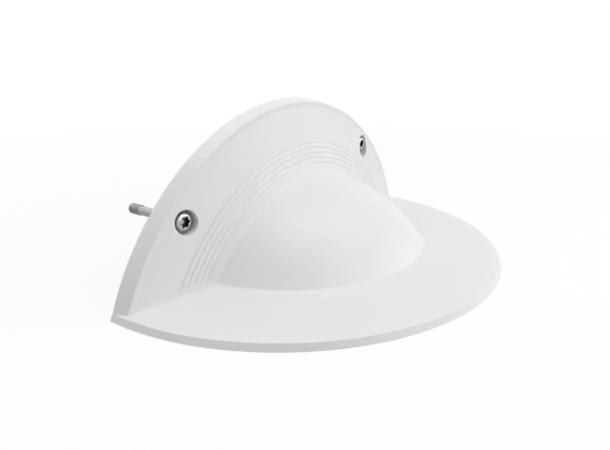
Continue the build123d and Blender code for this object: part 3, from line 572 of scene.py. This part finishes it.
# ---------------------------------------------------------------- operators
class RADAR_OT_stage(bpy.types.Operator):
    """Sets the camera, the soft studio lights, the pale floor and the white backdrop"""

    bl_idname = "radar.stage"
    bl_label = "Studio"

    def execute(self, context):
        settings = context.scene.radar_stage
        data = bpy.data.cameras.new("camera")
        data.sensor_width = SENSOR_WIDTH
        data.lens = settings.lens
        data.clip_start = 0.01
        camera = bpy.data.objects.new("camera", data)
        context.scene.collection.objects.link(camera)
        back = Vector(CAMERA_BACK).normalized()
        right = Vector(CAMERA_RIGHT).normalized()
        up = back.cross(right)
        turn = Matrix((right, up, back)).transposed().to_4x4()
        camera.matrix_world = Matrix.Translation(CAMERA_PLACE) @ turn
        context.scene.camera = camera
        for name, bearing, height, power in LAMPS:
            self.lamp(name, bearing, height, power)
        self.floor(settings)
        self.backdrop(context, settings)
        context.scene.view_settings.view_transform = "Standard"
        return {"FINISHED"}

    def lamp(self, name, bearing, height, power):
        """A round soft lamp a metre from the object, placed by its bearing from +X and its height."""
        data = bpy.data.lights.new(name, "AREA")
        data.shape = "DISK"
        data.size = LAMP_SIZE
        data.energy = power
        lamp = bpy.data.objects.new(name, data)
        bpy.context.scene.collection.objects.link(lamp)
        turn, rise = math.radians(bearing), math.radians(height)
        away = Vector((math.cos(turn) * math.cos(rise), math.sin(turn) * math.cos(rise), math.sin(rise)))
        place = Vector(LAMP_TARGET) + away * LAMP_REACH
        lamp.matrix_world = Matrix.Translation(place) @ away.to_track_quat("Z", "Y").to_matrix().to_4x4()

    def floor(self, settings):
        """A plain floor that throws little light back. The camera sees it pale, with the shadow kept, and
        further out its share of unlit white rises to 1:
        glow + (1 - glow) x (distance - NEAR) / (FAR - NEAR), clipped."""
        half = FLOOR_HALF
        corners = np.array([(-half, -half, 0), (half, -half, 0), (half, half, 0), (-half, half, 0)])
        floor = new_piece("floor", corners, [(0, 1, 2, 3)])
        paint = Paint("floor_paint")
        ray = paint.node("ShaderNodeLightPath")
        seen = (ray["Is Camera Ray"] + ray["Is Glossy Ray"] + ray["Is Transmission Ray"]).clipped()
        x, y, _ = paint.parts(paint.where)
        distance = (x * x + y * y) ** 0.5
        far = ((distance - FLOOR_NEAR) / (FLOOR_FAR - FLOOR_NEAR)).clipped()
        glow = settings.floor_glow + far * (1 - settings.floor_glow)
        unseen = (*[settings.floor_bounce] * 3, 1.0)
        paint.finish(colour=paint.mix(seen, unseen, FLOOR_COLOUR), roughness=0.9)
        white = paint.tree.nodes.new("ShaderNodeEmission")
        blend = paint.tree.nodes.new("ShaderNodeMixShader")
        paint.tree.links.new((seen * glow).socket, blend.inputs["Fac"])
        paint.tree.links.new(paint.shader.outputs[0], blend.inputs[1])
        paint.tree.links.new(white.outputs[0], blend.inputs[2])
        paint.tree.links.new(blend.outputs[0], paint.output.inputs["Surface"])
        floor.data.materials.append(paint.material)

    def backdrop(self, context, settings):
        """A world that lights the object evenly, and that the camera and reflections see as white."""
        world = bpy.data.worlds.new("studio")
        context.scene.world = world
        world.use_nodes = True
        tree = world.node_tree
        tree.nodes.clear()
        output = tree.nodes.new("ShaderNodeOutputWorld")
        plain = tree.nodes.new("ShaderNodeBackground")
        white = tree.nodes.new("ShaderNodeBackground")
        plain.inputs["Strength"].default_value = settings.ambient
        for shader in (plain, white):
            shader.inputs["Color"].default_value = WHITE
        ray = tree.nodes.new("ShaderNodeLightPath")
        either = tree.nodes.new("ShaderNodeMath")
        seen = tree.nodes.new("ShaderNodeMath")
        either.operation = seen.operation = "MAXIMUM"
        tree.links.new(ray.outputs["Is Camera Ray"], either.inputs[0])
        tree.links.new(ray.outputs["Is Glossy Ray"], either.inputs[1])
        tree.links.new(either.outputs[0], seen.inputs[0])
        tree.links.new(ray.outputs["Is Transmission Ray"], seen.inputs[1])
        blend = tree.nodes.new("ShaderNodeMixShader")
        tree.links.new(seen.outputs[0], blend.inputs["Fac"])
        tree.links.new(plain.outputs[0], blend.inputs[1])
        tree.links.new(white.outputs[0], blend.inputs[2])
        tree.links.new(blend.outputs[0], output.inputs["Surface"])


class RADAR_OT_housing(bpy.types.Operator):
    """Gives the radome housing its moulded plastic skin"""

    bl_idname = "radar.housing"
    bl_label = "Housing"

    def execute(self, context):
        settings = context.scene.radar_housing
        # the skin carries painted shade and painted light in the wall's grooves
        dress("radome_housing", moulded_plastic(
            "housing_skin", tuple(settings.colour), settings.roughness, settings.grain,
            settings.grain_depth, painted_grooves=True))
        return {"FINISHED"}


class RADAR_OT_covers(bpy.types.Operator):
    """Finishes the rear and base covers and their gaskets"""

    bl_idname = "radar.covers"
    bl_label = "Covers and gaskets"

    def execute(self, context):
        skin = moulded_plastic("cover_skin", slot_colour("cover_plastic"), 0.55, 0.0005, 0.00002, 0.03)
        seal = rubber("gasket_foam", slot_colour("gasket_rubber"))
        for node in ("rear_cover", "base_cover"):
            dress(node, skin)
        for node in ("rear_cover_gasket", "base_cover_gasket", "connector_seal"):
            dress(node, seal)
        return {"FINISHED"}


class RADAR_OT_fixing_screws(bpy.types.Operator):
    """Makes the two captive fixing screws with their drive recess and thread"""

    bl_idname = "radar.fixing_screws"
    bl_label = "Fixing screws"

    def execute(self, context):
        settings = context.scene.radar_screws
        for side in ("left", "right"):
            node = f"fixing_screw_{side}"
            across, _, upright = middle_of(node)
            rows = screw_rows(across, upright, settings.pitch, settings.thread_depth)
            piece = closed_surface(f"threaded_{node}", rows)
            smooth_by_angle(piece)
            piece.data.materials.append(turned_metal(
                f"steel_{side}", tuple(settings.steel), (across, upright), 0.2, fixing=True))
            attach(piece, f"{side}_screw")
            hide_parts(node)
        return {"FINISHED"}


class RADAR_OT_screw_fittings(bpy.types.Operator):
    """Finishes the washers, sleeves and retainers that hold the fixing screws"""

    bl_idname = "radar.screw_fittings"
    bl_label = "Screw washers, sleeves and retainers"

    def execute(self, context):
        seal = rubber("washer_rubber", slot_colour("gasket_rubber"))
        for side in ("left", "right"):
            across, _, upright = middle_of(f"boss_sleeve_{side}")
            dress(f"screw_washer_{side}", seal)
            dress(f"boss_sleeve_{side}", turned_metal(
                f"sleeve_steel_{side}", slot_colour("stainless"), (across, upright), 0.32))
            dress(f"screw_retainer_{side}", moulded_plastic(
                f"retainer_{side}", slot_colour("sleeve_plastic"), 0.5, 0.0004, 0.00001, 0.1))
        return {"FINISHED"}


class RADAR_OT_cover_screws(bpy.types.Operator):
    """Finishes the small screws, their brass inserts and the standoffs"""

    bl_idname = "radar.cover_screws"
    bl_label = "Cover screws, inserts and standoffs"

    def execute(self, context):
        steel = plated_metal("screw_steel", slot_colour("stainless"), 0.28)
        brass = plated_metal("insert_brass", slot_colour("brass"), 0.34)
        nickel = plated_metal("standoff_nickel", slot_colour("nickel_brass"), 0.26)
        for node in ("rear_cover_screws", "base_cover_screws", "standoff_screws", "antenna_screws"):
            dress(node, steel)
        for node in ("rear_cover_inserts", "base_cover_inserts"):
            dress(node, brass)
        for node in ("lower_standoffs", "upper_standoffs"):
            dress(node, nickel)
        return {"FINISHED"}


class RADAR_OT_connector(bpy.types.Operator):
    """Makes the threaded cable connector and finishes what is in it"""

    bl_idname = "radar.connector"
    bl_label = "Cable connector"

    def execute(self, context):
        across, _, upright = middle_of("connector_shell")
        low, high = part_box("connector_shell")
        rows = barrel_rows(across, upright, low[1] / MM, high[1] / MM)
        piece = ring_surface("connector_barrel", rows)
        smooth_by_angle(piece)
        piece.data.materials.append(turned_metal(
            "connector_nickel", slot_colour("nickel_brass"), (across, upright), 0.26))
        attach(piece, "housing")
        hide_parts("connector_shell")
        dress("connector_nut", plated_metal("nut_nickel", slot_colour("nickel_brass"), 0.3))
        dress("connector_insulator", moulded_plastic(
            "insulator", slot_colour("insulator_plastic"), 0.45, 0.0003, 0.000006, 0.15))
        dress("connector_contacts", plated_metal("contact_gold", slot_colour("gold"), 0.22))
        dress("connector_wires", rubber("wire_sleeve", slot_colour("wire_sleeve")))
        return {"FINISHED"}


class RADAR_OT_vent(bpy.types.Operator):
    """Finishes the breather in the base cover"""

    bl_idname = "radar.vent"
    bl_label = "Vent"

    def execute(self, context):
        dress("vent_plug", moulded_plastic(
            "vent_skin", slot_colour("vent_plastic"), 0.5, 0.0004, 0.00001, 0.1))
        dress("vent_membrane", membrane("vent_fibre", slot_colour("membrane")))
        return {"FINISHED"}


class RADAR_OT_electronics(bpy.types.Operator):
    """Finishes the boards, the radiators and what is mounted on them"""

    bl_idname = "radar.electronics"
    bl_label = "Electronics"

    def execute(self, context):
        dress("transceiver_board", circuit_board("solder_mask", slot_colour("fr4")))
        dress("antenna_board", laminate("microwave_weave", slot_colour("microwave_laminate")))
        dress("reflector_plate", plated_metal("rolled_aluminium", slot_colour("aluminium"), 0.36))
        dress("shield_can", plated_metal("tin_plate", slot_colour("tin_plate"), 0.3))
        dress("processor_chip", moulded_plastic(
            "chip_epoxy", slot_colour("chip_epoxy"), 0.5, 0.0003, 0.00001, 0.2))
        dress("power_coil", moulded_plastic(
            "ferrite", slot_colour("coil_ferrite"), 0.6, 0.0003, 0.00002, 0.2))
        dress("board_header", moulded_plastic(
            "header", slot_colour("header_plastic"), 0.5, 0.0004, 0.00001, 0.05))
        copper = plated_metal("tinned_copper", slot_colour("copper"), 0.32)
        gold = plated_metal("coax_gold", slot_colour("gold"), 0.24)
        for node in ("radiating_patches", "feed_lines"):
            dress(node, copper)
        for node in ("coax_sockets", "coax_bullet"):
            dress(node, gold)
        return {"FINISHED"}


class RADAR_PT_panel(bpy.types.Panel):
    """Buttons for each group of pieces"""

    bl_label = "Radar dome"
    bl_idname = "RADAR_PT_panel"
    bl_space_type = "VIEW_3D"
    bl_region_type = "UI"
    bl_category = "Radar Dome"

    def draw(self, context):
        for name, title in (("radar_housing", "Housing"), ("radar_screws", "Screws"),
                            ("radar_stage", "Studio")):
            box = self.layout.box()
            box.label(text=title)
            settings = getattr(context.scene, name)
            for key in settings.__annotations__:
                box.prop(settings, key)
        for operator in OPERATORS:
            self.layout.operator(operator.bl_idname)


SETTINGS = (RadarHousingSettings, RadarScrewSettings, RadarStageSettings)
OPERATORS = (RADAR_OT_stage, RADAR_OT_housing, RADAR_OT_covers, RADAR_OT_fixing_screws,
             RADAR_OT_screw_fittings, RADAR_OT_cover_screws, RADAR_OT_connector, RADAR_OT_vent,
             RADAR_OT_electronics)


def register():
    for cls in (*SETTINGS, *OPERATORS, RADAR_PT_panel):
        bpy.utils.register_class(cls)
    bpy.types.Scene.radar_housing = bpy.props.PointerProperty(type=RadarHousingSettings)
    bpy.types.Scene.radar_screws = bpy.props.PointerProperty(type=RadarScrewSettings)
    bpy.types.Scene.radar_stage = bpy.props.PointerProperty(type=RadarStageSettings)


def unregister():
    del bpy.types.Scene.radar_housing
    del bpy.types.Scene.radar_screws
    del bpy.types.Scene.radar_stage
    for cls in reversed((*SETTINGS, *OPERATORS, RADAR_PT_panel)):
        bpy.utils.unregister_class(cls)


def main():
    register()
    for operator in OPERATORS:
        group, name = operator.bl_idname.split(".")
        getattr(getattr(bpy.ops, group), name)()


if __name__ == "__main__":
    main()
